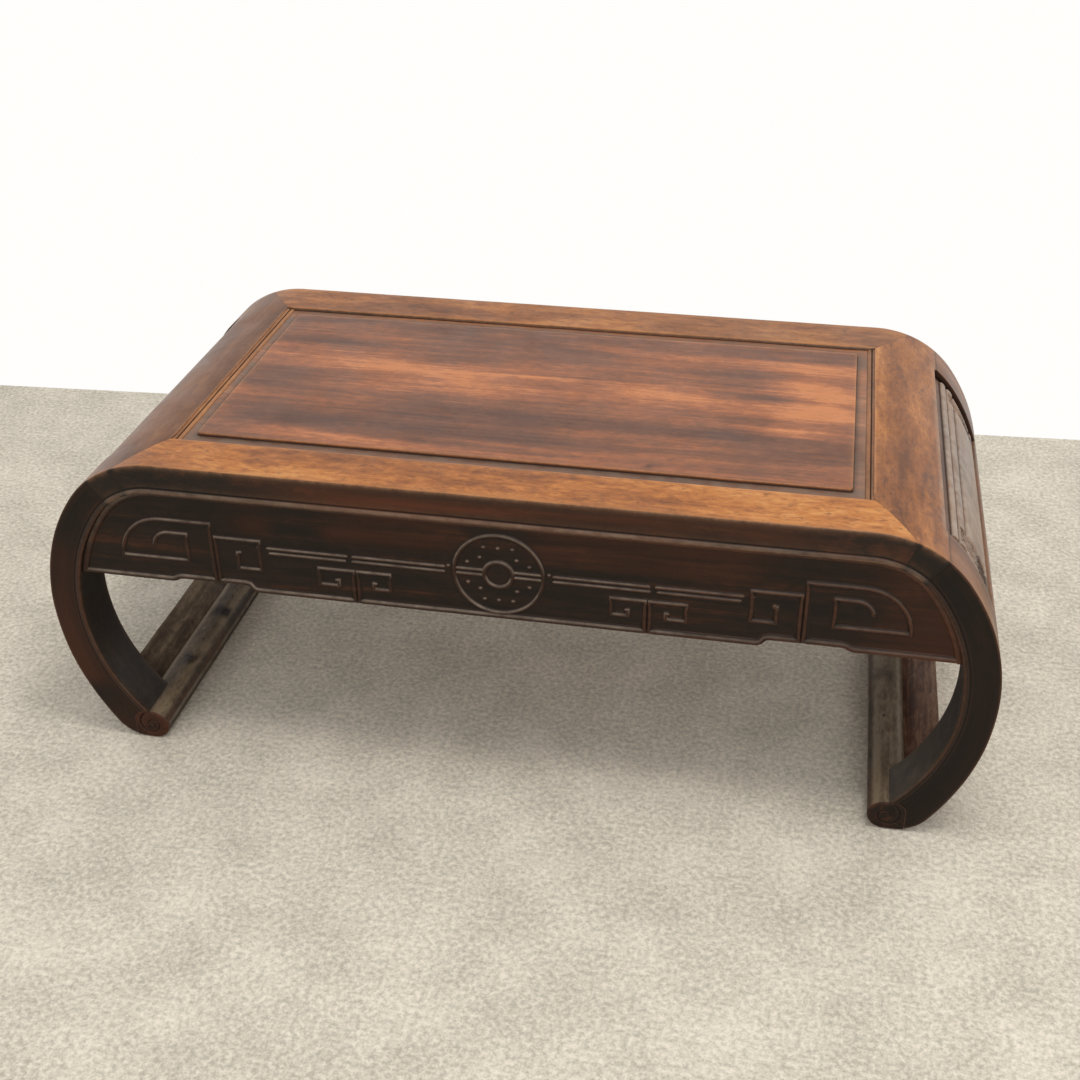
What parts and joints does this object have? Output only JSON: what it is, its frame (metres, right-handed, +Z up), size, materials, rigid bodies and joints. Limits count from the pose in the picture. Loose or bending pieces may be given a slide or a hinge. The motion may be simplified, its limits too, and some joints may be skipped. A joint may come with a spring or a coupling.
{
  "type": "kang table",
  "caption": "Low rectangular kang table with a framed floating panel, carved aprons and C-curved ends on scrolled foot bars.",
  "frame": {"origin": "on the floor under the middle of the table's top", "axes": "+X along the table's length to its right-hand end, +Y from the front apron to the back apron, +Z up"},
  "size_m": [0.85, 0.412, 0.305],
  "materials": {
    "frame_wood": "polished orange-brown hardwood with fine pores",
    "panel_wood": "polished red-brown hardwood with long streaks",
    "leg_wood": "dark brown polished hardwood, rubbed red-brown at the edges",
    "apron_wood": "dark brown polished hardwood, carved, with lighter worn lines",
    "end_wood": "polished brown hardwood",
    "foot_wood": "worn greyish brown hardwood",
    "inner_wood": "plain unpolished hardwood",
    "peg_wood": "dark end grain"
  },
  "bodies": {
    "root": {"top_rail_front": "frame_wood", "top_rail_back": "frame_wood", "end_rail_left": "frame_wood", "end_rail_right": "frame_wood", "top_panel": "panel_wood", "batten_left": "inner_wood", "batten_centre": "inner_wood", "batten_right": "inner_wood", "leg_front_left": "leg_wood", "leg_front_right": "leg_wood", "leg_back_left": "leg_wood", "leg_back_right": "leg_wood", "apron_front": "apron_wood", "apron_back": "apron_wood", "end_panel_left": "end_wood", "end_panel_right": "end_wood", "lower_end_rail_left": "end_wood", "lower_end_rail_right": "end_wood", "foot_bar_left": "foot_wood", "foot_bar_right": "foot_wood", "foot_board_left": "foot_wood", "foot_board_right": "foot_wood", "foot_pegs_left": "peg_wood", "foot_pegs_right": "peg_wood"}
  },
  "joints": []
}
